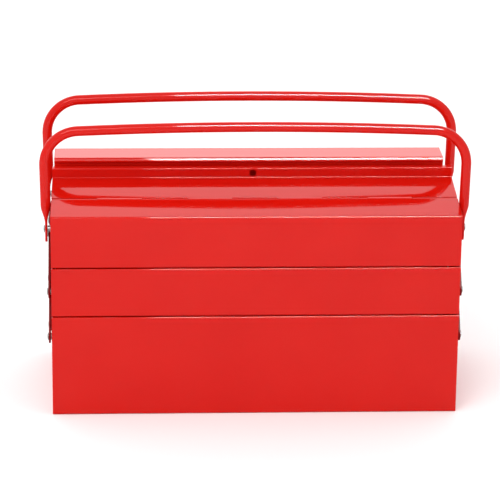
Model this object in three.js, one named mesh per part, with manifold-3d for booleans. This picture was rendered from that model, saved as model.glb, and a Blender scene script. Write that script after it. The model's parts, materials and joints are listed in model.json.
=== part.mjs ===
// Cantilever toolbox of folded sheet steel: a base box, two middle trays and two top trays.
// Flat arms riveted to the end walls swing the trays apart, to the front and to the rear.
// Each top tray has a hinged lid and a tubular carrying handle.
// Millimetres, +Z up, +X along the box, -Y to the front. The origin is under the base's centre.

import * as THREE from 'three';
import { mergeVertices } from 'three/addons/utils/BufferGeometryUtils.js';
import Module from 'manifold-3d';

const wasm = await Module();
wasm.setup();

// Overall size and the levels where one box sits on the next
const LENGTH = 430;
const DEPTH = 200;
const BASE_TOP = 109.5;
const MIDDLE_TOP = 163;
const EAVE = 219.2;

// Sheet metal
const SHEET = 1;
const SEAM = 0.8; // gap between neighbouring boxes
const PLAY = 0.3; // gap between pieces that touch or slide on each other
const BEND = 2; // outer radius of a fold
const HEM_HEIGHT = 8;
const HEM_THICKNESS = 2.2;
const TOLERANCE = 0.002; // slivers thinner than this are dropped

// Roof: a fixed strip rises from the eave to the lid's hinge, and the lid goes on to the middle
const STRIP_SLOPE = THREE.MathUtils.degToRad(7.6);
const LID_SLOPE = THREE.MathUtils.degToRad(7.8);
const HINGE_DEPTH = 46; // distance of the lid's hinge from the outer face
const RIM_FLANGE = 12; // width of the flange that the lid rests on

// Lid hinge
const KNUCKLE_RADIUS = 1.8;
const KNUCKLE_BORE = 1.2;
const PIN_RADIUS = 0.9;
const KNUCKLES = 9;
const KNUCKLE_GAP = 0.4;
const HINGE_HALF_LENGTH = 214.6;
const SHEET_EDGE = 2.3; // distance of each sheet's edge from the hinge axis

// Front lid's upright flange, and the rear lid's raised box
const FLANGE_HEIGHT = 10.7;
const RETURN_WIDTH = 8.6;
const PADLOCK_RADIUS = 3.7;
const PADLOCK_ABOVE_EAVE = 18.4;
const REAR_LID_LENGTH = 419.5;
const REAR_LID_SHIFT = 3.25; // the rear lid sits this far towards the left end
const REAR_LID_BACK = 33; // height of its outer edge above the eave
const REAR_LID_FRONT = 32.8;
const BEAD_RADIUS = 3;
const BEAD_DEPTH = 88.5; // distance of the bead's axis from the rear face

// Arms: every link has the same length and lean, so each tray stays level
const ARM_STEP = new THREE.Vector2(38, 52.5);
const ARM_RADIUS = 7;
const ARM_THICKNESS = 2;
const ARM_STANDOFF = 1.4;

// Pivots, as distance from the outer face and height
const PIVOTS = {
  longFoot: new THREE.Vector2(14, 83.5),
  lowerFoot: new THREE.Vector2(52, 83.5),
  upperFoot: new THREE.Vector2(16, 133),
  handle: new THREE.Vector2(36, 196),
};
PIVOTS.longMiddle = PIVOTS.longFoot.clone().add(ARM_STEP);
PIVOTS.longTop = PIVOTS.longMiddle.clone().add(ARM_STEP);
PIVOTS.lowerTop = PIVOTS.lowerFoot.clone().add(ARM_STEP);
PIVOTS.upperTop = PIVOTS.upperFoot.clone().add(ARM_STEP);

// Rivets
const RIVET_RADIUS = 2;
const RIVET_HOLE = 2.3;
const RIVET_HEAD = 4;
const RIVET_SHOULDER = 3.6;
const RIVET_DOME = 1.3;

// Handle: a round tube whose ends are pressed flat
const TUBE_RADIUS = 5.3;
const HANDLE_HALF_WIDTH = 221.6; // to the tube's axis
const HANDLE_TOP = 306.2; // height of the bar's axis at its middle
const HANDLE_BOW = 4;
const HANDLE_LEAN = 0.9; // each leg leans out by this much towards its corner
const HANDLE_CORNER = 36.5;
const TONGUE_STANDOFF = 4;
const TONGUE_THICKNESS = 2.6;
const TONGUE_HALF_WIDTH = 7;
const TONGUE_BELOW_PIVOT = 14.3;

const HALF_LENGTH = LENGTH / 2;
const HALF_DEPTH = DEPTH / 2;

const steel = { roughness: 0.3, metalness: 0.9, color: 0xc4c6c8 };
const red = { roughness: 0.22, metalness: 0.1, color: 0xd81f22 };

// --- Solids ---------------------------------------------------------------------------------

// A closed solid from a three.js geometry
function solid(geometry) {
  const bare = geometry.clone();
  bare.deleteAttribute('normal');
  bare.deleteAttribute('uv');
  const merged = mergeVertices(bare, 1e-4);
  const index = merged.index.array;
  const kept = [];
  for (let i = 0; i < index.length; i += 3) {
    const [a, b, c] = [index[i], index[i + 1], index[i + 2]];
    if (a !== b && b !== c && c !== a) kept.push(a, b, c);
  }
  const vertProperties = new Float32Array(merged.attributes.position.array);
  const triVerts = new Uint32Array(kept);
  return new wasm.Manifold(new wasm.Mesh({ numProp: 3, vertProperties, triVerts }));
}

// A three.js geometry from a solid
function geometryOf(body) {
  const mesh = body.simplify(TOLERANCE).getMesh();
  const geometry = new THREE.BufferGeometry();
  const position = new Float32Array(mesh.vertProperties);
  geometry.setAttribute('position', new THREE.BufferAttribute(position, 3));
  geometry.setIndex(new THREE.BufferAttribute(new Uint32Array(mesh.triVerts), 1));
  geometry.computeVertexNormals();
  return geometry;
}

const joined = (bodies) => bodies.reduce((whole, body) => whole.add(body));

// Extrudes an outline of [y, z] points from x0 to x1
function prismX(outline, x0, x1) {
  const shape = new THREE.Shape(outline.map(([y, z]) => new THREE.Vector2(y, z)));
  const geometry = new THREE.ExtrudeGeometry(shape, { depth: x1 - x0, bevelEnabled: false });
  geometry.applyMatrix4(new THREE.Matrix4().set(0, 0, 1, x0, 1, 0, 0, 0, 0, 1, 0, 0, 0, 0, 0, 1));
  return solid(geometry);
}

// An upright block with rounded vertical corners
function roundedBlock(x0, x1, y0, y1, z0, z1, radius) {
  const shape = new THREE.Shape();
  shape.moveTo(x0 + radius, y0);
  shape.absarc(x1 - radius, y0 + radius, radius, -Math.PI / 2, 0);
  shape.absarc(x1 - radius, y1 - radius, radius, 0, Math.PI / 2);
  shape.absarc(x0 + radius, y1 - radius, radius, Math.PI / 2, Math.PI);
  shape.absarc(x0 + radius, y0 + radius, radius, Math.PI, Math.PI * 1.5);
  const options = { depth: z1 - z0, bevelEnabled: false, curveSegments: 3 };
  const geometry = new THREE.ExtrudeGeometry(shape, options);
  geometry.translate(0, 0, z0);
  return solid(geometry);
}

// A round rod along X
function rodX(x0, x1, y, z, radius, segments = 12) {
  const geometry = new THREE.CylinderGeometry(radius, radius, x1 - x0, segments);
  geometry.rotateZ(-Math.PI / 2);
  geometry.translate((x0 + x1) / 2, y, z);
  return solid(geometry);
}

// A folded line: each inner corner of the polyline becomes an arc
function folded(corners, radius, steps = 3) {
  const points = [corners[0]];
  for (let i = 1; i < corners.length - 1; i += 1) {
    const corner = new THREE.Vector2(...corners[i]);
    const before = new THREE.Vector2(...corners[i - 1]).sub(corner).normalize();
    const after = new THREE.Vector2(...corners[i + 1]).sub(corner).normalize();
    const half = Math.acos(THREE.MathUtils.clamp(before.dot(after), -1, 1)) / 2;
    const centre = before.clone().add(after).normalize();
    centre.multiplyScalar(radius / Math.sin(half)).add(corner);
    const from = before.clone().multiplyScalar(radius / Math.tan(half)).add(corner).sub(centre);
    const to = after.clone().multiplyScalar(radius / Math.tan(half)).add(corner).sub(centre);
    const sweep = Math.atan2(from.cross(to), from.dot(to));
    for (let step = 0; step <= steps; step += 1) {
      const point = from.clone().rotateAround(new THREE.Vector2(), (sweep * step) / steps).add(centre);
      points.push([point.x, point.y]);
    }
  }
  points.push(corners[corners.length - 1]);
  return points;
}

// The outline of a sheet whose outer surface is the given line, with the metal on its right
function sheetOutline(line, thickness) {
  const inner = line.map((point, i) => {
    const here = new THREE.Vector2(...point);
    const into = i > 0 ? here.clone().sub(new THREE.Vector2(...line[i - 1])).normalize() : null;
    const out = i < line.length - 1 ? new THREE.Vector2(...line[i + 1]).sub(here).normalize() : null;
    const first = into ?? out;
    const second = out ?? into;
    const mean = first.clone().add(second).normalize();
    const reach = thickness / mean.dot(first);
    return [here.x + mean.y * reach, here.y - mean.x * reach];
  });
  return [...line, ...inner.reverse()];
}

// --- Places on the front half ---------------------------------------------------------------

const yAt = (depth) => depth - HALF_DEPTH;
const hingeTop = EAVE + HINGE_DEPTH * Math.tan(STRIP_SLOPE);
const hingeAxis = { y: yAt(HINGE_DEPTH), z: hingeTop - KNUCKLE_RADIUS };
const stripHeight = (depth) => EAVE + depth * Math.tan(STRIP_SLOPE);
const lidHeight = (depth) => hingeTop + (depth - HINGE_DEPTH) * Math.tan(LID_SLOPE);
const rimHeight = (depth) => lidHeight(depth) - SHEET - PLAY;
const innerFace = HALF_DEPTH - SEAM / 2;
const rimEdge = HALF_DEPTH - RIM_FLANGE;

// A hole through both end walls
function rivetHole(pivot) {
  return rodX(-HALF_LENGTH - 2, HALF_LENGTH + 2, yAt(pivot.x), pivot.y, RIVET_HOLE, 8);
}

// --- Boxes and trays ------------------------------------------------------------------------

// An open box with a hem folded inwards round its rim
function openBox(y0, y1, z0, z1, corner) {
  const block = (wall, bottom, top, radius) => roundedBlock(
    wall - HALF_LENGTH, HALF_LENGTH - wall, y0 + wall, y1 - wall, bottom, top, radius);
  const outer = block(0, z0, z1, corner);
  const hollow = block(SHEET, z0 + SHEET, z1 - HEM_HEIGHT, corner - SHEET);
  const mouth = block(HEM_THICKNESS, z1 - HEM_HEIGHT - 1, z1 + 1, corner);
  return outer.subtract(hollow).subtract(mouth);
}

function baseShell() {
  let shell = openBox(-HALF_DEPTH, HALF_DEPTH, 0, BASE_TOP - SEAM / 2, BEND);
  for (const pivot of [PIVOTS.longFoot, PIVOTS.lowerFoot]) {
    shell = shell.subtract(rivetHole(pivot));
    shell = shell.subtract(rivetHole(new THREE.Vector2(DEPTH - pivot.x, pivot.y)));
  }
  return shell;
}

function middleTray() {
  let tray = openBox(-HALF_DEPTH, -SEAM / 2, BASE_TOP + SEAM / 2, MIDDLE_TOP - SEAM / 2, BEND);
  for (const pivot of [PIVOTS.longMiddle, PIVOTS.upperFoot, PIVOTS.lowerTop]) {
    tray = tray.subtract(rivetHole(pivot));
  }
  return tray;
}

// The hinge's knuckles, taken by turns: even ones belong to the tray and odd ones to the lid.
// Each rolls out of its sheet, whose edge lies on the side given.
function knuckles(parity, side) {
  const pitch = (2 * HINGE_HALF_LENGTH) / KNUCKLES;
  const rolls = [];
  for (let i = parity; i < KNUCKLES; i += 2) {
    const x0 = -HINGE_HALF_LENGTH + i * pitch + KNUCKLE_GAP / 2;
    const x1 = x0 + pitch - KNUCKLE_GAP;
    const edge = hingeAxis.y + side * (SHEET_EDGE + 0.5);
    const leaf = [
      [Math.min(hingeAxis.y, edge), hingeTop - SHEET],
      [Math.max(hingeAxis.y, edge), hingeTop - SHEET],
      [Math.max(hingeAxis.y, edge), hingeTop],
      [Math.min(hingeAxis.y, edge), hingeTop],
    ];
    rolls.push(rodX(x0, x1, hingeAxis.y, hingeAxis.z, KNUCKLE_RADIUS).add(prismX(leaf, x0, x1)));
  }
  return rolls;
}

// A rod on the hinge's axis, as long as the box and the given amount longer at each end
const hingeRod = (radius, extra) => rodX(
  -HALF_LENGTH - extra, HALF_LENGTH + extra, hingeAxis.y, hingeAxis.z, radius, 8);

function topTray() {
  const floor = MIDDLE_TOP + SEAM / 2;
  const stripEdge = HINGE_DEPTH - SHEET_EDGE;
  const line = folded([
    [yAt(rimEdge), rimHeight(rimEdge)],
    [yAt(innerFace), rimHeight(innerFace)],
    [yAt(innerFace), floor],
    [yAt(0), floor],
    [yAt(0), EAVE],
    [yAt(stripEdge), stripHeight(stripEdge)],
  ], BEND);
  const wrap = prismX(sheetOutline(line, SHEET), -HALF_LENGTH, HALF_LENGTH);
  const endOutline = [...line, [yAt(stripEdge), rimHeight(stripEdge)]];
  const rimStart = HINGE_DEPTH + SHEET_EDGE + 3;
  const rimLine = [
    [yAt(rimStart), rimHeight(rimStart)],
    [yAt(innerFace - BEND - 1), rimHeight(innerFace - BEND - 1)],
  ];
  const bodies = [wrap];
  const rimOutline = sheetOutline(rimLine, SHEET);
  bodies.push(prismX(endOutline, -HALF_LENGTH, SHEET - HALF_LENGTH));
  bodies.push(prismX(endOutline, HALF_LENGTH - SHEET, HALF_LENGTH));
  bodies.push(prismX(rimOutline, -HALF_LENGTH, RIM_FLANGE - HALF_LENGTH));
  bodies.push(prismX(rimOutline, HALF_LENGTH - RIM_FLANGE, HALF_LENGTH));
  let tray = joined([...bodies, ...knuckles(0, -1)]).subtract(hingeRod(KNUCKLE_BORE, 1));
  for (const pivot of [PIVOTS.longTop, PIVOTS.upperTop, PIVOTS.handle]) {
    tray = tray.subtract(rivetHole(pivot));
  }
  return tray;
}

const hingePin = () => hingeRod(PIN_RADIUS, -PLAY);

// --- Lids -----------------------------------------------------------------------------------

function padlockHole(y0, y1) {
  const hole = new THREE.CylinderGeometry(PADLOCK_RADIUS, PADLOCK_RADIUS, y1 - y0, 16);
  hole.translate(0, (y0 + y1) / 2, EAVE + PADLOCK_ABOVE_EAVE);
  return solid(hole);
}

// A flat sheet whose inner edge turns up and then runs on over the middle of the box
function frontLid() {
  const edge = HINGE_DEPTH + SHEET_EDGE;
  const foot = innerFace - PLAY;
  const top = lidHeight(foot) + FLANGE_HEIGHT;
  const line = folded([
    [yAt(edge), lidHeight(edge)],
    [yAt(foot), lidHeight(foot)],
    [yAt(foot), top],
    [yAt(foot + RETURN_WIDTH), top],
  ], 1.2);
  const sheet = prismX(sheetOutline(line, SHEET), -HALF_LENGTH, HALF_LENGTH);
  return joined([sheet, ...knuckles(1, 1)])
    .subtract(hingeRod(KNUCKLE_BORE, 1))
    .subtract(padlockHole(yAt(foot) - 5, yAt(foot) + 5));
}

// A raised box, open below, with a rolled bead along its inner edge and a lip under the bead.
// It is drawn on the front half, and then turned to the rear with its tray.
function rearLid() {
  const edge = HINGE_DEPTH + SHEET_EDGE;
  const outer = edge + 1.3;
  const shoulder = outer + 2;
  const lip = BEAD_DEPTH + 0.5;
  const back = EAVE + REAR_LID_BACK;
  const front = EAVE + REAR_LID_FRONT;
  const x0 = REAR_LID_SHIFT - REAR_LID_LENGTH / 2;
  const x1 = REAR_LID_SHIFT + REAR_LID_LENGTH / 2;
  const line = folded([
    [yAt(edge), hingeTop],
    [yAt(outer), hingeTop],
    [yAt(shoulder), back],
    [yAt(BEAD_DEPTH), front],
  ], 1.1);
  const foot = (depth) => rimHeight(depth) + PLAY;
  const lipOutline = [
    [yAt(lip - SHEET), foot(lip)],
    [yAt(lip), foot(lip)],
    [yAt(lip), front - BEAD_RADIUS],
    [yAt(lip - SHEET), front - BEAD_RADIUS],
  ];
  const endOutline = [
    [yAt(outer), foot(outer)],
    [yAt(lip), foot(lip)],
    [yAt(lip), front - 1],
    [yAt(shoulder + 1), back - 0.5],
    [yAt(outer + 0.4), hingeTop],
  ];
  const bodies = [
    prismX(sheetOutline(line, SHEET), x0, x1),
    prismX(lipOutline, x0, x1),
    rodX(x0, x1, yAt(BEAD_DEPTH), front - BEAD_RADIUS, BEAD_RADIUS),
    prismX(endOutline, x0, x0 + SHEET),
    prismX(endOutline, x1 - SHEET, x1),
  ];
  return joined([...bodies, ...knuckles(1, 1)])
    .subtract(hingeRod(KNUCKLE_BORE, 1))
    .subtract(padlockHole(yAt(lip) - 5, yAt(lip) + 4));
}

// --- Arms and rivets ------------------------------------------------------------------------

// A flat arm with round ends and a hole at each pivot
function arm(side, foot, links) {
  const step = ARM_STEP.length();
  const reach = links * step;
  const shape = new THREE.Shape();
  shape.moveTo(0, -ARM_RADIUS);
  shape.lineTo(reach, -ARM_RADIUS);
  shape.absarc(reach, 0, ARM_RADIUS, -Math.PI / 2, Math.PI / 2);
  shape.absarc(0, 0, ARM_RADIUS, Math.PI / 2, Math.PI * 1.5);
  for (let i = 0; i <= links; i += 1) {
    shape.holes.push(new THREE.Path().absarc(i * step, 0, RIVET_HOLE, 0, Math.PI * 2, true));
  }
  const middle = side * (HALF_LENGTH + ARM_STANDOFF + ARM_THICKNESS / 2);
  const x0 = middle - ARM_THICKNESS / 2;
  const options = { depth: ARM_THICKNESS, bevelEnabled: false, curveSegments: 5 };
  const geometry = new THREE.ExtrudeGeometry(shape, options);
  geometry.rotateZ(ARM_STEP.angle());
  geometry.translate(yAt(foot.x), foot.y, 0);
  geometry.applyMatrix4(new THREE.Matrix4().set(0, 0, 1, x0, 1, 0, 0, 0, 0, 1, 0, 0, 0, 0, 0, 1));
  return solid(geometry);
}

// A shouldered rivet: a head inside the wall, a shoulder that keeps the arm off the wall,
// and a domed head outside
function rivet(side, pivot, standoff, grip) {
  const inner = -SHEET - PLAY;
  const outer = standoff + grip + PLAY;
  const profile = [
    [0, inner - RIVET_DOME],
    [RIVET_HEAD, inner],
    [RIVET_RADIUS, inner],
    [RIVET_RADIUS, PLAY],
    [RIVET_SHOULDER, PLAY],
    [RIVET_SHOULDER, standoff - PLAY],
    [RIVET_RADIUS, standoff - PLAY],
    [RIVET_RADIUS, outer],
    [RIVET_HEAD, outer],
    [RIVET_HEAD * 0.6, outer + RIVET_DOME],
    [0, outer + RIVET_DOME],
  ];
  const geometry = new THREE.LatheGeometry(profile.map(([r, h]) => new THREE.Vector2(r, h)), 8);
  geometry.rotateZ(side * -Math.PI / 2);
  geometry.translate(side * HALF_LENGTH, yAt(pivot.x), pivot.y);
  return solid(geometry);
}

const armRivet = (side, pivot) => rivet(side, pivot, ARM_STANDOFF, ARM_THICKNESS);
const handleRivet = (side) => rivet(side, PIVOTS.handle, TONGUE_STANDOFF, TONGUE_THICKNESS);

// --- Handle ---------------------------------------------------------------------------------

// Stations from the tip of the right tongue to the middle of the bar. Each has its place in the
// XZ plane and its half sizes: across the tube in that plane, and along Y.
function handleStations() {
  const tongueX = HALF_LENGTH + TONGUE_STANDOFF + TONGUE_THICKNESS / 2;
  const tip = PIVOTS.handle.y - TONGUE_BELOW_PIVOT;
  const flat = TONGUE_THICKNESS / 2;
  const stations = [];
  for (const turn of [0.1, 0.35, 0.65, 1]) {
    const angle = (turn * Math.PI) / 2;
    stations.push({
      x: tongueX,
      z: tip + TONGUE_HALF_WIDTH * (1 - Math.cos(angle)),
      across: flat,
      along: TONGUE_HALF_WIDTH * Math.sin(angle),
      square: 1,
    });
  }
  const flatEnd = PIVOTS.handle.y + 7;
  const roundStart = PIVOTS.handle.y + 26;
  const legX = HANDLE_HALF_WIDTH - HANDLE_LEAN;
  for (let i = 0; i <= 4; i += 1) {
    const share = i / 4;
    const ease = share * share * (3 - 2 * share);
    stations.push({
      x: THREE.MathUtils.lerp(tongueX, legX, ease),
      z: THREE.MathUtils.lerp(flatEnd, roundStart, share),
      across: THREE.MathUtils.lerp(flat, TUBE_RADIUS, ease),
      along: THREE.MathUtils.lerp(TONGUE_HALF_WIDTH, TUBE_RADIUS, ease),
      square: 1 - ease,
    });
  }
  const cornerX = HANDLE_HALF_WIDTH - HANDLE_CORNER;
  const slope = Math.atan((2 * HANDLE_BOW) / cornerX);
  const barHalf = cornerX + HANDLE_CORNER * Math.sin(slope);
  const cornerZ = HANDLE_TOP - HANDLE_BOW - HANDLE_CORNER * Math.cos(slope);
  const tube = { across: TUBE_RADIUS, along: TUBE_RADIUS, square: 0 };
  for (let i = 0; i <= 6; i += 1) {
    const angle = (i / 6) * (Math.PI / 2 - slope);
    const x = cornerX + HANDLE_CORNER * Math.cos(angle);
    stations.push({ x, z: cornerZ + HANDLE_CORNER * Math.sin(angle), ...tube });
  }
  for (let i = 1; i <= 3; i += 1) {
    const x = barHalf * (1 - i / 3);
    stations.push({ x, z: HANDLE_TOP - HANDLE_BOW * (x / barHalf) ** 2, ...tube });
  }
  return stations;
}

// Skins a row of rings that have equal point counts, and closes both ends
function loft(rings) {
  const count = rings[0].length;
  const position = rings.flat().flatMap((point) => point.toArray());
  const index = [];
  for (let ring = 0; ring < rings.length - 1; ring += 1) {
    for (let i = 0; i < count; i += 1) {
      const a = ring * count + i;
      const b = ring * count + ((i + 1) % count);
      index.push(a, b, b + count, a, b + count, a + count);
    }
  }
  const last = (rings.length - 1) * count;
  for (let i = 1; i < count - 1; i += 1) {
    index.push(0, i + 1, i);
    index.push(last, last + i, last + i + 1);
  }
  const geometry = new THREE.BufferGeometry();
  geometry.setAttribute('position', new THREE.Float32BufferAttribute(position, 3));
  geometry.setIndex(index);
  return solid(geometry);
}

function handle() {
  const right = handleStations();
  const left = right.slice(0, -1).reverse().map((station) => ({ ...station, x: -station.x }));
  const stations = [...right, ...left];
  const rings = stations.map((station, i) => {
    const before = stations[Math.max(i - 1, 0)];
    const after = stations[Math.min(i + 1, stations.length - 1)];
    const tangent = new THREE.Vector2(after.x - before.x, after.z - before.z).normalize();
    const ring = [];
    for (let k = 0; k < 12; k += 1) {
      const angle = (k / 12) * Math.PI * 2;
      const power = 1 - 0.5 * station.square;
      const across = station.across * Math.sign(Math.cos(angle)) * Math.abs(Math.cos(angle)) ** power;
      const along = station.along * Math.sin(angle);
      ring.push(new THREE.Vector3(
        station.x + tangent.y * across, yAt(PIVOTS.handle.x) + along, station.z - tangent.x * across));
    }
    return ring;
  });
  return loft(rings).subtract(rivetHole(PIVOTS.handle).scale([1.1, 1, 1]));
}

// --- Assembly -------------------------------------------------------------------------------

const group = new THREE.Group();

function place(parent, name, body, look) {
  const mesh = new THREE.Mesh(geometryOf(body), new THREE.MeshStandardMaterial(look));
  mesh.name = name;
  parent.add(mesh);
}

// One half of the box: trays, lid, handle, arms and rivets. The rear half is the front one
// turned half a turn about Z, so that its left end is the front half's right one.
function half(name, lid) {
  const turned = new THREE.Group();
  const rear = name === 'rear';
  if (rear) turned.rotation.z = Math.PI;
  place(turned, `${name}_middle_tray`, middleTray(), red);
  place(turned, `${name}_top_tray`, topTray(), red);
  place(turned, `${name}_hinge_pin`, hingePin(), steel);
  place(turned, `${name}_lid`, lid, red);
  place(turned, `${name}_handle`, handle(), red);
  for (const side of [-1, 1]) {
    const end = (side > 0) === rear ? 'left' : 'right';
    const label = `${name}_${end}`;
    place(turned, `${label}_long_arm`, arm(side, PIVOTS.longFoot, 2), red);
    place(turned, `${label}_lower_arm`, arm(side, PIVOTS.lowerFoot, 1), red);
    place(turned, `${label}_upper_arm`, arm(side, PIVOTS.upperFoot, 1), red);
    place(turned, `${label}_long_arm_foot_rivet`, armRivet(side, PIVOTS.longFoot), steel);
    place(turned, `${label}_long_arm_middle_rivet`, armRivet(side, PIVOTS.longMiddle), steel);
    place(turned, `${label}_long_arm_top_rivet`, armRivet(side, PIVOTS.longTop), steel);
    place(turned, `${label}_lower_arm_foot_rivet`, armRivet(side, PIVOTS.lowerFoot), steel);
    place(turned, `${label}_lower_arm_top_rivet`, armRivet(side, PIVOTS.lowerTop), steel);
    place(turned, `${label}_upper_arm_foot_rivet`, armRivet(side, PIVOTS.upperFoot), steel);
    place(turned, `${label}_upper_arm_top_rivet`, armRivet(side, PIVOTS.upperTop), steel);
    place(turned, `${label}_handle_rivet`, handleRivet(side), steel);
  }
  group.add(turned);
}

place(group, 'base_shell', baseShell(), red);
half('front', frontLid());
half('rear', rearLid());

export default group;
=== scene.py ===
"""Looks of a glossy red cantilever toolbox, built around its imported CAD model.

Metres, +Z up, the front towards -Y. Outlines of the front half are drawn as (depth, height), where
depth is the distance inwards from the box's outer face. The rear half is the front one turned half
a turn about Z, apart from its lid.
"""

import json
import math

import bmesh
import bpy
from mathutils import Matrix, Vector


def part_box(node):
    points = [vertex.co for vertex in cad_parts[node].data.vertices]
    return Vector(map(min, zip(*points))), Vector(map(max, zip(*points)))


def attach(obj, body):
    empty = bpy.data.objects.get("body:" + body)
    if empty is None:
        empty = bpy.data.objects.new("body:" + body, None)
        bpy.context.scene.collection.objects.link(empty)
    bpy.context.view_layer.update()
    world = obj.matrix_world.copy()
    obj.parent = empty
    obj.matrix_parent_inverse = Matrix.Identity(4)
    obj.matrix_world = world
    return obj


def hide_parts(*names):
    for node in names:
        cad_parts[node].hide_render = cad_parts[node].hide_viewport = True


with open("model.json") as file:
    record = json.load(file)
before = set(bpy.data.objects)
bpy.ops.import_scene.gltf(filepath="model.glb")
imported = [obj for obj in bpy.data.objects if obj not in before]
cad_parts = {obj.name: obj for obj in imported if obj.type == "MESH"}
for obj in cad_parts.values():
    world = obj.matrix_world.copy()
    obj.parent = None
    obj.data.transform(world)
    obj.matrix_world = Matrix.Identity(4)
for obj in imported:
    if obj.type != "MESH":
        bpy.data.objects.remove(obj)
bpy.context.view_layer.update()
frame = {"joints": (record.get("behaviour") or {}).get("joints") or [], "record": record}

MM = 0.001

# --- Sizes ----------------------------------------------------------------------------------

SHEET = 1.0 * MM
GAP = 0.05 * MM  # between sheets that lie on each other
BEND = 2.0 * MM  # outer radius of a fold
HEM_HEIGHT = 8.0 * MM
HEM_RADIUS = 1.1 * MM
TAB = 11.0 * MM  # width of the flanges by which the end panels are welded in
END_INSET = 0.15 * MM  # the end panels lie this far inside the wraps' cut edges
END_BEND = 1.2 * MM  # outer radius of the folds round the top trays' end walls
EDGE_ROUND = 0.22 * MM  # rounding of cut sheet edges
ROUND_STEPS = 8

STRIP_SLOPE = math.radians(7.6)
LID_SLOPE = math.radians(7.8)
RIM_FLANGE = 12.0 * MM
SHEET_EDGE = 2.06 * MM  # distance of each roof sheet's edge from the hinge axis
KNUCKLE_RADIUS = 1.8 * MM
KNUCKLE_LEAF = 0.6 * MM
KNUCKLE_GAP = 0.4 * MM
KNUCKLES = 9
LEAF_START = 0.3 * MM  # from a roof sheet's edge to the start of its knuckles
REST_GAP = 0.3 * MM  # between the lid and what it rests on

RETURN_WIDTH = 8.6 * MM
FLANGE_BEND = 1.2 * MM
PADLOCK_RADIUS = 3.7 * MM
PADLOCK_BELOW_TOP = 5.74 * MM  # from the top of the front lid's flange
BEAD_RADIUS = 3.0 * MM
FACET_RADIUS = 13.0 * MM  # of the bead's flattened side
FACET_REACH = 0.9 * BEAD_RADIUS  # of that side from the bead's axis
FACET_TILT = 34.0  # degrees by which it faces up
FACET_HALF_ANGLE = 5.0
REAR_LID_RISE = 0.2 * MM  # from the bead to the lid's outer edge
REAR_LID_LEDGE = 1.3 * MM  # level part between the hinge and the lid's outer wall
REAR_LID_LEAN = 2.0 * MM  # by which the outer wall leans inwards
LIP_BEHIND_BEAD = 0.5 * MM

RIVET_HEAD = 4.0 * MM
RIVET_SHANK = 2.0 * MM
RIVET_DOME = 1.3 * MM
SPACER_RADIUS = 3.6 * MM
SPACER_GAP = 0.3 * MM
ARM_THICKNESS = 2.0 * MM
TUBE_RADIUS = 5.3 * MM
HANDLE_CORNER = 36.5 * MM
HANDLE_BOW = 4.0 * MM
HANDLE_LEAN = 0.9 * MM
TONGUE_HALF_THICKNESS = 1.3 * MM
TONGUE_TOP = 7.0 * MM  # height above the pivot where the flat tongue ends
TUBE_START = 26.0 * MM  # height above the pivot where the tube is round again

# --- Places, from the frame -----------------------------------------------------------------

base_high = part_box("base_shell")[1]
tray_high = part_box("front_top_tray")[1]
lid_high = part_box("front_lid")[1]
rear_lid_low, rear_lid_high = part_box("rear_lid")
grip_low, grip_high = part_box("front_handle")

HALF_LENGTH = base_high.x
HALF_DEPTH = base_high.y
INNER = HALF_DEPTH + tray_high.y  # depth of a tray's inner wall

pivots = {joint["name"]: Vector(joint["pos_m"]) for joint in frame["joints"]}
hinge = pivots["front_lid_hinge"]
HINGE_DEPTH = HALF_DEPTH + hinge.y
HINGE_TOP = hinge.z + KNUCKLE_RADIUS
EAVE = HINGE_TOP - HINGE_DEPTH * math.tan(STRIP_SLOPE)


def strip_height(depth):
    return EAVE + depth * math.tan(STRIP_SLOPE)


def lid_height(depth):
    return HINGE_TOP + (depth - HINGE_DEPTH) * math.tan(LID_SLOPE)


def rim_height(depth):
    return lid_height(depth) - SHEET - REST_GAP


def front(x, depth, height):
    """A point of the front half."""
    return Vector((x, depth - HALF_DEPTH, height))


def rear(x, depth, height):
    """A point of the rear half, given as on the front half."""
    return Vector((-x, HALF_DEPTH - depth, height))


PLACE = {"front": front, "rear": rear}

# --- Outlines -------------------------------------------------------------------------------


def arc(centre, radius, start, end, steps=ROUND_STEPS):
    """Points of an arc, with its angles in degrees."""
    points = []
    for i in range(steps + 1):
        angle = math.radians(start + (end - start) * i / steps)
        points.append(Vector((centre[0] + radius * math.cos(angle), centre[1] + radius * math.sin(angle))))
    return points


def folded(corners, radius, steps=ROUND_STEPS):
    """A polyline whose inner corners are folds of the given outer radius, or of a radius each."""
    corners = [Vector(corner) for corner in corners]
    radii = radius if isinstance(radius, (list, tuple)) else [radius] * (len(corners) - 2)
    points = [corners[0]]
    for i in range(1, len(corners) - 1):
        before = (corners[i - 1] - corners[i]).normalized()
        after = (corners[i + 1] - corners[i]).normalized()
        half = before.angle(after) / 2
        r = radii[i - 1]
        centre = corners[i] + (before + after).normalized() * (r / math.sin(half))
        start = corners[i] + before * (r / math.tan(half)) - centre
        end = corners[i] + after * (r / math.tan(half)) - centre
        sweep = math.atan2(start.x * end.y - start.y * end.x, start.dot(end))
        for step in range(steps + 1):
            points.append(centre + Matrix.Rotation(sweep * step / steps, 2) @ start)
    points.append(corners[-1])
    return points


def sheet_outline(line, thickness=SHEET):
    """The closed outline of a sheet whose outer side is the line, with the metal on its right."""
    inner = []
    for i, point in enumerate(line):
        into = (point - line[i - 1]).normalized() if i > 0 else None
        out = (line[i + 1] - point).normalized() if i < len(line) - 1 else None
        first = into or out
        mean = (first + (out or into)).normalized()
        reach = thickness / mean.dot(first)
        inner.append(point + Vector((mean.y, -mean.x)) * reach)
    return list(line) + inner[::-1]


# --- Meshes ---------------------------------------------------------------------------------


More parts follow.
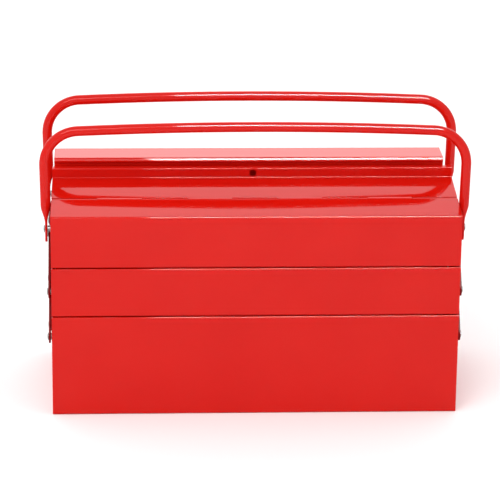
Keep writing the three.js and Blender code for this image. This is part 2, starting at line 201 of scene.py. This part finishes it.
class Shape:
    """Collects closed bodies, and becomes one Blender object."""

    def __init__(self):
        self.vertices = []
        self.faces = []

    def rings(self, rings):
        """Skins rings of equal length and caps both ends."""
        start = len(self.vertices)
        count = len(rings[0])
        for ring in rings:
            self.vertices.extend(ring)
        for r in range(len(rings) - 1):
            near = start + r * count
            far = near + count
            for i in range(count):
                j = (i + 1) % count
                self.faces.append((near + i, near + j, far + j, far + i))
        self.faces.append(tuple(start + i for i in reversed(range(count))))
        last = start + (len(rings) - 1) * count
        self.faces.append(tuple(last + i for i in range(count)))
        return self

    def along_x(self, outline, x0, x1, place):
        """Extrudes an outline of (depth, height) points from x0 to x1."""
        return self.rings([[place(x, p[0], p[1]) for p in outline] for x in (x0, x1)])

    def along_depth(self, outline, d0, d1, place):
        """Extrudes an outline of (x, height) points from one depth to another."""
        return self.rings([[place(p[0], d, p[1]) for p in outline] for d in (d0, d1)])

    def lathe_x(self, profile, centre, side, steps=32):
        """Turns a profile of (radius, distance along X) about an axis through the centre."""
        rings = []
        for radius, reach in profile:
            ring = []
            for i in range(steps):
                angle = 2 * math.pi * i / steps
                ring.append(Vector((
                    centre.x + side * reach,
                    centre.y + radius * math.cos(angle),
                    centre.z + radius * math.sin(angle))))
            rings.append(ring)
        return self.rings(rings)

    def build(self, name, bevel=EDGE_ROUND, bevel_steps=2):
        mesh = bpy.data.meshes.new(name)
        mesh.from_pydata([tuple(v) for v in self.vertices], [], self.faces)
        work = bmesh.new()
        work.from_mesh(mesh)
        bmesh.ops.recalc_face_normals(work, faces=work.faces)
        work.to_mesh(mesh)
        work.free()
        mesh.shade_smooth()
        piece = bpy.data.objects.new(name, mesh)
        bpy.context.scene.collection.objects.link(piece)
        if bevel:
            edges = piece.modifiers.new("edges", "BEVEL")
            edges.width = bevel
            edges.segments = bevel_steps
            edges.limit_method = "ANGLE"
            edges.angle_limit = math.radians(40)
            edges.use_clamp_overlap = False
        normals = piece.modifiers.new("normals", "WEIGHTED_NORMAL")
        normals.keep_sharp = True
        return piece


def apply_cut(piece, cutter):
    """Cuts one object out of another, ahead of the other modifiers, and removes the cutter."""
    others = [m for m in piece.modifiers if m.show_viewport]
    for modifier in others:
        modifier.show_viewport = False
    cut = piece.modifiers.new("cut", "BOOLEAN")
    cut.operation = "DIFFERENCE"
    cut.solver = "EXACT"
    cut.object = cutter
    evaluated = piece.evaluated_get(bpy.context.evaluated_depsgraph_get())
    mesh = bpy.data.meshes.new_from_object(evaluated)
    piece.modifiers.remove(cut)
    piece.data = mesh
    mesh.shade_smooth()
    for modifier in others:
        modifier.show_viewport = True
    bpy.data.objects.remove(cutter)
    return piece


# --- Materials ------------------------------------------------------------------------------


class Nodes:
    """A small helper that adds nodes and links them."""

    def __init__(self, tree):
        self.tree = tree

    def add(self, kind, inputs=None, **settings):
        node = self.tree.nodes.new(kind)
        for key, value in settings.items():
            setattr(node, key, value)
        for key, value in (inputs or {}).items():
            if isinstance(value, bpy.types.NodeSocket):
                self.tree.links.new(value, node.inputs[key])
            else:
                node.inputs[key].default_value = value
        return node

    def noise(self, place, size, detail=2.0, roughness=0.5):
        """Noise whose features are about the given size in metres."""
        return self.add("ShaderNodeTexNoise", {
            "Vector": place, "Scale": 1 / size, "Detail": detail, "Roughness": roughness,
        }).outputs["Fac"]

    def spread(self, value, low, high, to_low=0.0, to_high=1.0):
        return self.add("ShaderNodeMapRange", {
            "Value": value, "From Min": low, "From Max": high, "To Min": to_low, "To Max": to_high,
        }).outputs["Result"]

    def mix(self, factor, first, second):
        node = self.add("ShaderNodeMix", data_type="RGBA")
        for socket, value in ((node.inputs[0], factor), (node.inputs[6], first), (node.inputs[7], second)):
            if isinstance(value, bpy.types.NodeSocket):
                self.tree.links.new(value, socket)
            else:
                socket.default_value = value
        return node.outputs[2]

    def math(self, operation, first, second):
        node = self.add("ShaderNodeMath", operation=operation)
        for socket, value in zip(node.inputs, (first, second)):
            if isinstance(value, bpy.types.NodeSocket):
                self.tree.links.new(value, socket)
            else:
                socket.default_value = value
        return node.outputs[0]

    def worn_edge(self, radius):
        """1 on edges sharper than the radius, and 0 on flat metal."""
        rounded = self.add("ShaderNodeBevel", {"Radius": radius}, samples=4).outputs["Normal"]
        flat = self.add("ShaderNodeNewGeometry").outputs["Normal"]
        dot = self.add("ShaderNodeVectorMath", {0: rounded, 1: flat}, operation="DOT_PRODUCT")
        return self.spread(dot.outputs["Value"], 0.99, 0.86)


def red_enamel(name, colour, second_colour, sag, peel, coat=0.42):
    """Stoved enamel: even colour, a slight orange peel, and thin paint on the edges."""
    material = bpy.data.materials.new(name)
    material.use_nodes = True
    nodes = Nodes(material.node_tree)
    shader = material.node_tree.nodes["Principled BSDF"]
    place = nodes.add("ShaderNodeTexCoord").outputs["Object"]
    cloud = nodes.spread(nodes.noise(place, 0.09, 3.0), 0.3, 0.7)
    speck = nodes.spread(nodes.noise(place, 0.0009, 2.0), 0.62, 0.78)
    edge = nodes.worn_edge(0.0006)
    broken = nodes.spread(nodes.noise(place, 0.004, 4.0, 0.7), 0.45, 0.7)
    thin = nodes.math("MULTIPLY", edge, broken)
    body = nodes.mix(cloud, colour, second_colour)
    darker = nodes.mix(nodes.math("MULTIPLY", speck, 0.12), body, (0.30, 0.004, 0.004, 1))
    paint = nodes.mix(nodes.math("MULTIPLY", thin, 0.35), darker, (0.34, 0.012, 0.010, 1))
    waves = nodes.add("ShaderNodeBump", {
        "Strength": 1.0, "Distance": sag, "Height": nodes.noise(place, 0.16, 1.0, 0.3),
    })
    skin = nodes.add("ShaderNodeBump", {
        "Strength": 1.0, "Distance": peel, "Height": nodes.noise(place, 0.0022, 2.0),
        "Normal": waves.outputs["Normal"],
    })
    rough = nodes.spread(nodes.noise(place, 0.03, 4.0, 0.6), 0.3, 0.75, 0.20, 0.30)
    links = material.node_tree.links
    links.new(paint, shader.inputs["Base Color"])
    links.new(nodes.math("ADD", rough, nodes.math("MULTIPLY", thin, 0.15)), shader.inputs["Roughness"])
    links.new(skin.outputs["Normal"], shader.inputs["Normal"])
    links.new(skin.outputs["Normal"], shader.inputs["Coat Normal"])
    shader.inputs["IOR"].default_value = 1.5
    shader.inputs["Specular IOR Level"].default_value = 0.0
    shader.inputs["Coat Weight"].default_value = coat
    shader.inputs["Coat Roughness"].default_value = 0.035
    shader.inputs["Coat IOR"].default_value = 1.5
    return material


def plated_steel(name):
    """Zinc plating: dull bright grey with a faint warm cast and fine scratches."""
    material = bpy.data.materials.new(name)
    material.use_nodes = True
    nodes = Nodes(material.node_tree)
    shader = material.node_tree.nodes["Principled BSDF"]
    place = nodes.add("ShaderNodeTexCoord").outputs["Object"]
    cloud = nodes.spread(nodes.noise(place, 0.003, 3.0), 0.3, 0.7)
    grain = nodes.noise(place, 0.0004, 3.0)
    links = material.node_tree.links
    links.new(nodes.mix(cloud, (0.30, 0.30, 0.31, 1), (0.24, 0.23, 0.21, 1)), shader.inputs["Base Color"])
    links.new(nodes.spread(grain, 0.3, 0.7, 0.22, 0.42), shader.inputs["Roughness"])
    bump = nodes.add("ShaderNodeBump", {"Strength": 1.0, "Distance": 0.00001, "Height": grain})
    links.new(bump.outputs["Normal"], shader.inputs["Normal"])
    shader.inputs["Metallic"].default_value = 1.0
    return material


RED = (0.55, 0.0046, 0.0017, 1)
RED_SHIFT = (0.58, 0.0064, 0.0026, 1)
SKINS = {
    "red_enamel": red_enamel("enamel_on_sheet", RED, RED_SHIFT, sag=0.00022, peel=0.0000020),
    "red_enamel_tube": red_enamel("enamel_on_tube", RED, RED_SHIFT, sag=0.0, peel=0.0000008),
    # The arms get a much darker copy of the red enamel with little coat: painted shade for the arms, which
    # stand in shade in the narrow gaps beside the end walls.
    "red_enamel_arm": red_enamel(
        "enamel_on_arms_painted_shade", (0.16, 0.004, 0.005, 1), (0.20, 0.006, 0.006, 1),
        sag=0.0, peel=0.000003, coat=0.06),
    "plated_steel": plated_steel("zinc_plating"),
}


def finish(piece, slot, body, *nodes):
    """Gives a piece its material, its body and the CAD nodes that it stands for."""
    piece.data.materials.clear()
    piece.data.materials.append(SKINS[slot])
    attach(piece, body)
    if nodes:
        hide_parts(*nodes)
    return piece


# --- Base and middle trays ------------------------------------------------------------------


def hemmed_wrap(d0, d1, z0, z1):
    """One sheet bent into two walls and a floor, each wall with its rim folded inwards."""
    inside = d0 + 2 * HEM_RADIUS
    line = [Vector((inside, z1 - HEM_HEIGHT))]
    line += arc((d0 + HEM_RADIUS, z1 - HEM_RADIUS), HEM_RADIUS, 0, 180)
    mirrored = [Vector((d0 + d1 - p.x, p.y)) for p in line]
    floor = folded([line[-1], (d0, z0), (d1, z0), mirrored[-1]], BEND)
    return sheet_outline((line + floor[1:-1] + mirrored[::-1])[::-1])


def end_panel(shape, side, d0, d1, z0, z1, place):
    """An end wall with a flange on the floor, a tab on each wall, and a hemmed rim."""
    face = HALF_LENGTH - END_INSET
    low = z0 + SHEET + GAP
    hem = arc((face - HEM_RADIUS, z1 - HEM_RADIUS), HEM_RADIUS, 0, 180)
    hem.append(Vector((face - 2 * HEM_RADIUS, z1 - HEM_HEIGHT)))
    line = folded([(face - TAB, low), (face, low), hem[0]], BEND)[:-1] + hem
    outline = [Vector((side * p.x, p.y)) for p in sheet_outline(line[::-1])]
    shape.along_depth(outline, d0 + SHEET + GAP, d1 - SHEET - GAP, place)
    tab_top = z1 - HEM_HEIGHT - SHEET
    x0, x1 = side * (face - TAB), side * (face - SHEET)
    for d in (d0 + SHEET + GAP, d1 - 2 * SHEET - GAP):
        tab = [(d, low + BEND), (d + SHEET, low + BEND), (d + SHEET, tab_top), (d, tab_top)]
        shape.along_x(tab, min(x0, x1), max(x0, x1), place)


def open_box(name, node, body, place, d0, d1):
    """A folded sheet-steel box with hemmed rims."""
    low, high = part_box(node)
    shape = Shape()
    shape.along_x(hemmed_wrap(d0, d1, low.z, high.z), -HALF_LENGTH, HALF_LENGTH, place)
    for side in (-1, 1):
        end_panel(shape, side, d0, d1, low.z, high.z, place)
    return finish(shape.build(name), "red_enamel", body, node)


# --- Top trays ------------------------------------------------------------------------------


def knuckles(shape, parity, side, place, slope):
    """Rolls of the lid's hinge, on sheet of the given slope. Even ones belong to the tray, and odd
    ones to the lid."""
    pitch = 2 * (HALF_LENGTH - KNUCKLE_GAP) / KNUCKLES
    turn = math.degrees(slope)
    edge = HINGE_DEPTH + side * (SHEET_EDGE + LEAF_START)
    height = HINGE_TOP + (edge - HINGE_DEPTH) * math.tan(slope)
    axis = (HINGE_DEPTH, HINGE_TOP - KNUCKLE_RADIUS)
    if side < 0:
        roll = arc(axis, KNUCKLE_RADIUS, 90 + turn, -200, 28)
        outline = sheet_outline([Vector((edge, height - GAP))] + roll, KNUCKLE_LEAF)
    else:
        roll = arc(axis, KNUCKLE_RADIUS, 90 + turn, 380, 28)
        outline = sheet_outline(([Vector((edge, height - GAP))] + roll)[::-1], KNUCKLE_LEAF)
    for i in range(parity, KNUCKLES, 2):
        x0 = -HALF_LENGTH + KNUCKLE_GAP + i * pitch + KNUCKLE_GAP / 2
        shape.along_x(outline, x0, x0 + pitch - KNUCKLE_GAP, place)


def top_tray(half):
    place = PLACE[half]
    node = half + "_top_tray"
    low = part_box(node)[0].z
    rim_edge = HALF_DEPTH - RIM_FLANGE
    strip_edge = HINGE_DEPTH - SHEET_EDGE
    line = folded([
        (rim_edge, rim_height(rim_edge)),
        (INNER, rim_height(INNER)),
        (INNER, low),
        (0, low),
        (0, EAVE),
        (strip_edge, strip_height(strip_edge)),
    ], BEND)
    shape = Shape()
    shape.along_x(sheet_outline(line), -HALF_LENGTH, HALF_LENGTH, place)
    inset = SHEET + GAP
    seam = 40 * MM
    panel = folded([
        (seam, low + inset),
        (INNER - inset, low + inset),
        (INNER - inset, rim_height(INNER - inset) - inset),
        (HINGE_DEPTH, rim_height(HINGE_DEPTH) - GAP),
        (inset, EAVE - inset),
        (inset, low + inset),
        (seam, low + inset),
    ], 1.3 * MM)[:-1]
    for side in (-1, 1):
        end_dish(shape, side, panel, place)
    knuckles(shape, 0, -1, place, STRIP_SLOPE)
    finish(shape.build(half + "_top_tray_sheet"), "red_enamel", half + "_top_tray", node)


def offset(outline, inset):
    """A closed anticlockwise outline, moved inwards."""
    moved = []
    for i, point in enumerate(outline):
        into = (point - outline[i - 1]).normalized()
        out = (outline[(i + 1) % len(outline)] - point).normalized()
        mean = (into + out).normalized()
        moved.append(point + Vector((-mean.y, mean.x)) * (inset / mean.dot(into)))
    return moved


def end_dish(shape, side, outline, place):
    """An end wall with a flange bent inwards all the way round it."""
    face = HALF_LENGTH - END_INSET
    section = [(p[0], p[1]) for p in arc((END_BEND, face - END_BEND), END_BEND, 90, 180, 5)]
    section += [(0, face - TAB), (SHEET, face - TAB)]
    section += [(SHEET + 0.1 * MM, face - SHEET - 0.1 * MM)]
    rings = []
    for inset, x in section:
        rings.append([place(side * x, p.x, p.y) for p in offset(outline, inset)])
    shape.rings(rings)


def hinge_pin(half):
    node = half + "_hinge_pin"
    low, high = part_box(node)
    radius = (high.z - low.z) / 2
    centre = (low + high) / 2
    centre.x = 0
    reach = high.x
    profile = [
        (radius * 0.5, -reach), (radius, -reach + radius * 0.5),
        (radius, reach - radius * 0.5), (radius * 0.5, reach),
    ]
    piece = Shape().lathe_x(profile, centre, 1, 20).build(half + "_hinge_wire", bevel=0)
    finish(piece, "plated_steel", half + "_top_tray", node)


# --- Lids -----------------------------------------------------------------------------------


def padlock_cutter(depth, height):
    steps = 48
    reach = 3 * MM
    outline = []
    for i in range(steps):
        angle = 2 * math.pi * i / steps
        outline.append((PADLOCK_RADIUS * math.cos(angle), height + PADLOCK_RADIUS * math.sin(angle)))
    return Shape().along_depth(outline, depth - reach, depth + reach, front).build("cutter", bevel=0)


def front_lid():
    edge = HINGE_DEPTH + SHEET_EDGE
    foot = INNER - REST_GAP
    top = lid_high.z
    line = folded([
        (edge, lid_height(edge)),
        (foot, lid_height(foot)),
        (foot, top),
        (foot + RETURN_WIDTH, top),
    ], FLANGE_BEND)
    shape = Shape()
    shape.along_x(sheet_outline(line), -HALF_LENGTH, HALF_LENGTH, front)
    knuckles(shape, 1, 1, front, LID_SLOPE)
    piece = shape.build("front_lid_sheet")
    apply_cut(piece, padlock_cutter(foot, top - PADLOCK_BELOW_TOP))
    finish(piece, "red_enamel", "front_lid", "front_lid")


def rolled_bead(centre):
    """The bead's outside, from the lid's top round to its underside. A flattened side faces up and
    forward, and joins the round ones by tangent arcs."""
    steep = FACET_TILT + FACET_HALF_ANGLE
    shallow = FACET_TILT - FACET_HALF_ANGLE
    facing = Vector((math.cos(math.radians(FACET_TILT)), math.sin(math.radians(FACET_TILT))))
    flat = Vector(centre) + facing * (FACET_REACH - FACET_RADIUS)
    facet = arc(flat, FACET_RADIUS, steep, shallow, 6)
    towards_top = Vector((math.cos(math.radians(steep)), math.sin(math.radians(steep))))
    towards_front = Vector((math.cos(math.radians(shallow)), math.sin(math.radians(shallow))))
    upper_radius = (centre[1] + BEAD_RADIUS - facet[0].y) / (1 - towards_top.y)
    lower_radius = (centre[0] + BEAD_RADIUS - facet[-1].x) / (1 - towards_front.x)
    upper = arc(facet[0] - towards_top * upper_radius, upper_radius, 90, steep, 6)[:-1]
    lower = arc(facet[-1] - towards_front * lower_radius, lower_radius, shallow, 0, 5)[1:]
    return upper + facet + lower + arc(centre, BEAD_RADIUS, -8, -150, 18)


def rear_lid():
    """A raised box, open below, with a rolled bead along its inner edge and a lip under the bead.
    Its outlines are drawn on the front half, where its left end is the world's right end."""
    edge = HINGE_DEPTH + SHEET_EDGE
    outer = edge + REAR_LID_LEDGE
    shoulder = outer + REAR_LID_LEAN
    bead = HALF_DEPTH - rear_lid_low.y - BEAD_RADIUS
    back = rear_lid_high.z
    top = back - REAR_LID_RISE
    x0, x1 = -rear_lid_high.x, -rear_lid_low.x
    lip = bead + LIP_BEHIND_BEAD
    foot = rim_height(lip) + REST_GAP
    wall = folded([
        (edge, HINGE_TOP),
        (outer, HINGE_TOP),
        (shoulder, back),
        (bead - 1.6 * MM, top - 0.02 * MM),
    ], [0.9 * MM, 1.6 * MM])
    shape = Shape()
    wall += rolled_bead((bead, top - BEAD_RADIUS))
    shape.along_x(sheet_outline(wall), x0, x1, rear)
    lip_line = [Vector((lip, top - BEAD_RADIUS)), Vector((lip, foot))]
    shape.along_x(sheet_outline(lip_line), x0, x1, rear)
    end = [
        Vector((outer + 0.5 * MM, rim_height(outer) + REST_GAP)),
        Vector((lip - SHEET, foot)),
        Vector((lip - SHEET, top - 1.2 * MM)),
        Vector((shoulder + 1.1 * MM, back - 1.1 * MM)),
    ]
    for x in (x0 + 0.2 * MM, x1 - 0.2 * MM - SHEET):
        shape.along_x(end, x, x + SHEET, rear)
    knuckles(shape, 1, 1, rear, 0.0)
    piece = shape.build("rear_lid_sheet")
    finish(piece, "red_enamel", "rear_lid", "rear_lid")


# --- Arms and rivets ------------------------------------------------------------------------


def arm(node, body, feet):
    """A flat arm with round ends, through the given pivots."""
    low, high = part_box(node)
    radius = feet[0].z - low.z
    first, last = feet[0], feet[-1]
    lean = math.degrees(math.atan2(last.z - first.z, last.y - first.y))
    outline = arc((last.y, last.z), radius, lean - 90, lean + 90, 24)
    outline += arc((first.y, first.z), radius, lean + 90, lean + 270, 24)
    rings = [[Vector((x, p.x, p.y)) for p in outline] for x in (low.x, high.x)]
    piece = Shape().rings(rings).build(node + "_bar", bevel=0.35 * MM, bevel_steps=3)
    # The arm's darker enamel is painted shade, not a different paint.
    finish(piece, "red_enamel_arm", body, node)


def rivet(node, body):
    """A shouldered rivet: domed outside, clenched inside, with a spacer between wall and arm."""
    low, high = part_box(node)
    centre = (low + high) / 2
    side = 1 if centre.x > 0 else -1
    centre.x = side * HALF_LENGTH
    outside = max(abs(low.x), abs(high.x)) - HALF_LENGTH
    inside = min(abs(low.x), abs(high.x)) - HALF_LENGTH
    seat = outside - RIVET_DOME
    clench = inside + RIVET_DOME
    held = 2 * TONGUE_HALF_THICKNESS if "handle" in node else ARM_THICKNESS
    standoff = seat - held - 2 * SPACER_GAP
    profile = [(0.05 * MM, inside), (2.4 * MM, inside), (3.3 * MM, inside + 0.4 * MM), (3.7 * MM, clench)]
    profile += [(RIVET_SHANK, clench), (RIVET_SHANK, SPACER_GAP), (SPACER_RADIUS, SPACER_GAP)]
    profile += [(SPACER_RADIUS, standoff), (RIVET_SHANK, standoff), (RIVET_SHANK, seat)]
    profile += [(RIVET_HEAD, seat), (RIVET_HEAD, seat + 0.25 * MM)]
    steps = 8
    for i in range(1, steps + 1):
        angle = math.pi / 2 * i / steps
        reach = seat + 0.25 * MM + (RIVET_DOME - 0.25 * MM) * math.sin(angle)
        profile.append((max(RIVET_HEAD * math.cos(angle), 0.05 * MM), reach))
    piece = Shape().lathe_x(profile, centre, side).build(node + "_head", bevel=0.1 * MM)
    finish(piece, "plated_steel", body, node)


# --- Handles --------------------------------------------------------------------------------


def handle_stations():
    """Centres and half sizes from the right tongue's tip to the middle of the bar."""
    pivot = pivots["front_handle_pivot"]
    tip = grip_low.z
    outer = grip_high.x
    bar = grip_high.z - TUBE_RADIUS
    axis = outer - TUBE_RADIUS
    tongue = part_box("front_right_handle_rivet")[1].x - RIVET_DOME - SPACER_GAP - TONGUE_HALF_THICKNESS
    half_width = (grip_high.y - grip_low.y) / 2
    stations = []
    for i in range(1, 9):
        angle = math.pi / 2 * i / 8
        stations.append((
            tongue, tip + half_width * (1 - math.cos(angle)),
            TONGUE_HALF_THICKNESS, half_width * math.sin(angle), 1))
    flat_end = pivot.z + TONGUE_TOP
    round_start = pivot.z + TUBE_START
    leg = axis - HANDLE_LEAN
    for i in range(13):
        share = i / 12
        ease = share * share * (3 - 2 * share)
        stations.append((
            tongue + (leg - tongue) * ease,
            flat_end + (round_start - flat_end) * share,
            TONGUE_HALF_THICKNESS + (TUBE_RADIUS - TONGUE_HALF_THICKNESS) * ease,
            half_width + (TUBE_RADIUS - half_width) * ease,
            1 - ease))
    corner_x = axis - HANDLE_CORNER
    slope = math.atan(2 * HANDLE_BOW / corner_x)
    bar_half = corner_x + HANDLE_CORNER * math.sin(slope)
    corner_z = bar - HANDLE_BOW - HANDLE_CORNER * math.cos(slope)
    steps = 18
    for i in range(steps + 1):
        angle = i / steps * (math.pi / 2 - slope)
        stations.append((
            corner_x + HANDLE_CORNER * math.cos(angle), corner_z + HANDLE_CORNER * math.sin(angle),
            TUBE_RADIUS, TUBE_RADIUS, 0))
    for i in range(1, 9):
        x = bar_half * (1 - i / 8)
        stations.append((x, bar - HANDLE_BOW * (x / bar_half) ** 2, TUBE_RADIUS, TUBE_RADIUS, 0))
    return stations


def handle(half):
    """A bent tube whose ends are pressed flat."""
    place = PLACE[half]
    depth = HALF_DEPTH + pivots["front_handle_pivot"].y
    right = handle_stations()
    left = [(-s[0], *s[1:]) for s in right[-2::-1]]
    stations = right + left
    rings = []
    count = 32
    for i, (x, z, across, along, square) in enumerate(stations):
        before = stations[max(i - 1, 0)]
        after = stations[min(i + 1, len(stations) - 1)]
        tangent = Vector((after[0] - before[0], after[1] - before[1])).normalized()
        ring = []
        for k in range(count):
            angle = 2 * math.pi * k / count
            power = 1 - 0.6 * square
            wide = across * math.copysign(abs(math.cos(angle)) ** power, math.cos(angle))
            deep = along * math.sin(angle)
            ring.append(place(x + tangent.y * wide, depth + deep, z - tangent.x * wide))
        rings.append(ring)
    piece = Shape().rings(rings).build(half + "_handle_tube", bevel=0)
    finish(piece, "red_enamel_tube", half + "_handle", half + "_handle")


# --- The toolbox ----------------------------------------------------------------------------


def link_pivots(half):
    """For each kind of arm, the body that it is and the pivots it passes through."""
    swing = pivots[half + "_swing"]
    middle = pivots[half + "_middle_tray_pivot"]
    top = pivots[half + "_top_tray_pivot"]
    step = middle - swing
    lower = pivots[half + "_lower_arm_pivot"]
    upper = pivots[half + "_upper_arm_pivot"]
    return {
        "long": [swing, middle, top],
        "lower": [lower, lower + step],
        "upper": [upper, upper + step],
    }


def half_box(half):
    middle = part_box(half + "_middle_tray")
    inner = HALF_DEPTH - min(abs(middle[0].y), abs(middle[1].y))
    open_box(half + "_middle_tray_sheet", half + "_middle_tray", half + "_middle_tray", PLACE[half], 0, inner)
    top_tray(half)
    hinge_pin(half)
    handle(half)
    for kind, feet in link_pivots(half).items():
        for end in ("left", "right"):
            arm(f"{half}_{end}_{kind}_arm", f"{half}_{kind}_arms", feet)


def rivet_bodies():
    """Each rivet's CAD node with the body that it rides on."""
    found = {}
    for body, nodes in frame["record"]["behaviour"]["bodies"].items():
        for node in nodes:
            if node.endswith("_rivet"):
                found[node] = body
    return found


def toolbox():
    open_box("base_box", "base_shell", "base", front, 0, 2 * HALF_DEPTH)
    for half in ("front", "rear"):
        half_box(half)
    front_lid()
    rear_lid()
    for node, body in rivet_bodies().items():
        rivet(node, body)


# --- Studio ---------------------------------------------------------------------------------


def floor():
    mesh = bpy.data.meshes.new("studio_floor")
    work = bmesh.new()
    size = 9.0
    corners = [work.verts.new((x * size, y * size, -0.0002)) for x, y in ((-1, -1), (1, -1), (1, 1), (-1, 1))]
    work.faces.new(corners)
    work.to_mesh(mesh)
    work.free()
    piece = bpy.data.objects.new("studio_floor", mesh)
    bpy.context.scene.collection.objects.link(piece)
    material = bpy.data.materials.new("pale_floor")
    material.use_nodes = True
    nodes = Nodes(material.node_tree)
    shader = material.node_tree.nodes["Principled BSDF"]
    place = nodes.add("ShaderNodeTexCoord").outputs["Object"]
    cloud = nodes.spread(nodes.noise(place, 0.8, 2.0), 0.3, 0.7)
    colour = nodes.mix(cloud, (0.93, 0.93, 0.93, 1), (0.95, 0.95, 0.95, 1))
    material.node_tree.links.new(colour, shader.inputs["Base Color"])
    shader.inputs["Roughness"].default_value = 0.9
    shader.inputs["Specular IOR Level"].default_value = 0.0
    mesh.materials.append(material)


def sky():
    """A white studio: a bright backdrop behind the box, dimmer overhead and in front."""
    world = bpy.data.worlds.new("studio")
    bpy.context.scene.world = world
    world.use_nodes = True
    nodes = Nodes(world.node_tree)
    background = world.node_tree.nodes["Background"]
    direction = nodes.add("ShaderNodeTexCoord").outputs["Generated"]
    towards = nodes.add("ShaderNodeSeparateXYZ", {"Vector": direction}).outputs["Y"]
    backdrop = nodes.math("POWER", nodes.math("MAXIMUM", towards, 0.0), 6.3)
    front_half = nodes.spread(towards, -1.0, 0.0, 0.85, 1.05)
    strength = nodes.math("ADD", front_half, nodes.math("MULTIPLY", backdrop, 3.6))
    world.node_tree.links.new(strength, background.inputs["Strength"])
    background.inputs["Color"].default_value = (1, 1, 1, 1)


def softbox(name, place, target, width, height, power, in_reflections_only=False):
    light = bpy.data.lights.new(name, "AREA")
    light.shape = "RECTANGLE"
    light.size = width
    light.size_y = height
    light.energy = power
    lamp = bpy.data.objects.new(name, light)
    bpy.context.scene.collection.objects.link(lamp)
    lamp.location = place
    lamp.rotation_euler = (Vector(target) - Vector(place)).to_track_quat("-Z", "Y").to_euler()
    if in_reflections_only:
        lamp.visible_diffuse = False
    return lamp


def camera():
    azimuth = math.radians(-3.0)
    elevation = math.radians(18.0)
    roll = math.radians(0.65)
    distance = 2.8
    target = Vector((-0.002, 0.0, 0.1504))
    back = Vector((
        math.sin(azimuth) * math.cos(elevation),
        -math.cos(azimuth) * math.cos(elevation),
        math.sin(elevation)))
    right = Vector((0, 0, 1)).cross(back).normalized()
    up = back.cross(right)
    rolled_right = right * math.cos(roll) + up * math.sin(roll)
    rolled_up = up * math.cos(roll) - right * math.sin(roll)
    lens = bpy.data.cameras.new("camera")
    lens.sensor_width = 36
    lens.lens = 185.7
    lens.clip_end = 60
    eye = bpy.data.objects.new("camera", lens)
    bpy.context.scene.collection.objects.link(eye)
    axes = Matrix((rolled_right, rolled_up, back)).transposed()
    eye.matrix_world = Matrix.Translation(target + back * distance) @ axes.to_4x4()
    bpy.context.scene.camera = eye


def studio():
    floor()
    sky()
    softbox("key", (-0.9, -2.0, 2.2), (0, 0, 0.1), 1.6, 1.2, 33)
    softbox("glint", (0.62, -1.75, 2.35), (0.62, 0, 0.25), 1.4, 0.9, 230, in_reflections_only=True)
    camera()
    view = bpy.context.scene.view_settings
    view.view_transform = "Standard"
    view.look = "None"
    view.exposure = 0.0


toolbox()
studio()
